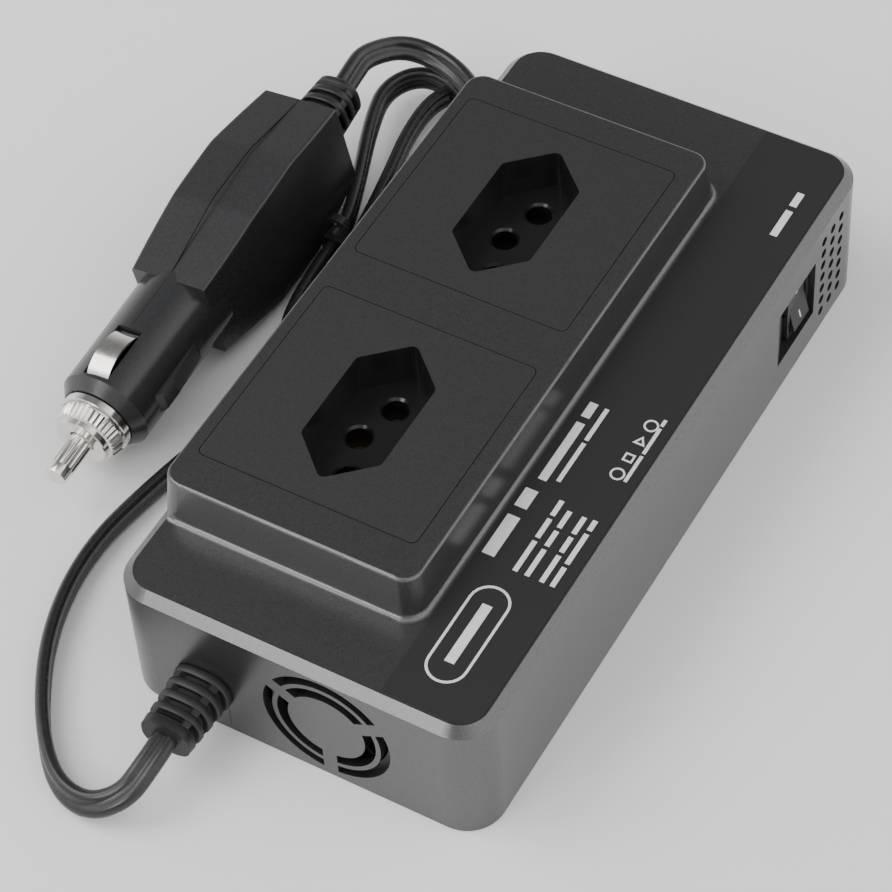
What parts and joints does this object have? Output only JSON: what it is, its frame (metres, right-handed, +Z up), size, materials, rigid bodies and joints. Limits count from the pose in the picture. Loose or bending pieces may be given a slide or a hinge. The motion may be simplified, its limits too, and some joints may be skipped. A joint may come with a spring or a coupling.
{
  "type": "power inverter",
  "caption": "Flat car power inverter with two recessed three-pin outlets on a raised block, side rocker switch, fan grille, tied flat input cord and lighter-socket plug.",
  "frame": {"origin": "centre of the underside of the casing", "axes": "+X across the casing towards the switch side, +Y along the casing from the gland and fan end to the charging-port end, +Z up"},
  "size_m": [0.1299, 0.2083, 0.0432],
  "materials": {
    "casing_graphite": "satin metallic graphite, fine sparkle",
    "label_black": null,
    "outlet_black": "satin graphite face, glossy black recess",
    "black_plastic": "moulded black",
    "plug_black": "semi-gloss dark grey",
    "cord_black": "satin black PVC",
    "pad_rubber": "matt",
    "nickel": "bright nickel plate",
    "steel": "zinc plated",
    "brass": "plain",
    "copper_wire": "enamelled copper",
    "ferrite": "dark grey ferrite",
    "board_green": "solder mask",
    "alu": "extruded",
    "can_blue": "printed sleeve",
    "fuse_clear": "tinted",
    "switch_white": "black rocker with white marks",
    "lead_red": "insulated lead"
  },
  "bodies": {
    "inverter": {"top_shell": "casing_graphite", "bottom_cover": "casing_graphite", "rubber_pads": "pad_rubber", "casing_screws": "steel", "label_panel": "label_black", "outlet_insert_front": "outlet_black", "outlet_insert_rear": "outlet_black", "outlet_contacts_front": "brass", "outlet_contacts_rear": "brass", "outlet_backing_front": "black_plastic", "outlet_backing_rear": "black_plastic", "fan_frame": "black_plastic", "fan_stator": "copper_wire", "fan_screws": "steel", "switch_body": "black_plastic", "switch_terminals": "brass", "main_board": "board_green", "board_screws": "steel", "transformer_core": "ferrite", "transformer_winding": "copper_wire", "choke_core": "ferrite", "choke_winding": "copper_wire", "input_capacitors": "can_blue", "high_voltage_capacitor": "can_blue", "heat_sink_input": "alu", "heat_sink_output": "alu", "input_transistors": "black_plastic", "output_transistors": "black_plastic", "controller_chips": "black_plastic", "fuse_holder": "black_plastic", "board_fuses": "fuse_clear", "buzzer": "black_plastic", "usb_board": "board_green", "usb_pin_headers": "black_plastic", "usb_shells": "nickel", "usb_tongues": "black_plastic", "cord_gland": "cord_black", "input_leads": "lead_red", "output_leads": "lead_red", "plug_shell_left": "plug_black", "plug_shell_right": "plug_black", "plug_nose_ring": "nickel", "plug_tip_spring": "steel", "plug_side_tab_left": "plug_black", "plug_side_tab_right": "plug_black", "plug_strain_relief": "cord_black", "plug_inner_lead": "lead_red", "cord_lead": "cord_black", "cord_tail": "cord_black", "cord_hank": "cord_black", "cord_tie": "black_plastic"},
    "fan_rotor": {"fan_rotor": "black_plastic"},
    "power_rocker": {"power_rocker": "switch_white"},
    "plug_tip": {"plug_tip": "nickel", "plug_fuse": "fuse_clear"},
    "plug_contact_upper": {"plug_contact_upper": "nickel"},
    "plug_contact_lower": {"plug_contact_lower": "nickel"}
  },
  "joints": [
    {"name": "fan_spin", "type": "hinge", "parent": "inverter", "child": "fan_rotor", "pos_m": [0.007, -0.077, 0.0161], "axis": [0, 1, 0], "continuous": true},
    {"name": "power_switch", "type": "hinge", "parent": "inverter", "child": "power_rocker", "pos_m": [0.038, 0.0551, 0.0161], "axis": [0, 1, 0], "range_deg": [0, 16]},
    {"name": "plug_tip_press", "type": "slide", "parent": "inverter", "child": "plug_tip", "axis": [0, 0.9979, 0.0645], "range_m": [0, 0.003], "stiffness_N_per_m": 900, "springref_m": -0.003, "deforming": ["plug_tip_spring"]},
    {"name": "upper_contact_press", "type": "slide", "parent": "inverter", "child": "plug_contact_upper", "axis": [0.1323, 0.064, -0.9891], "range_m": [0, 0.0015], "stiffness_N_per_m": 900, "springref_m": -0.001},
    {"name": "lower_contact_press", "type": "slide", "parent": "inverter", "child": "plug_contact_lower", "axis": [-0.1323, -0.064, 0.9891], "range_m": [0, 0.0015], "stiffness_N_per_m": 900, "springref_m": -0.001}
  ]
}
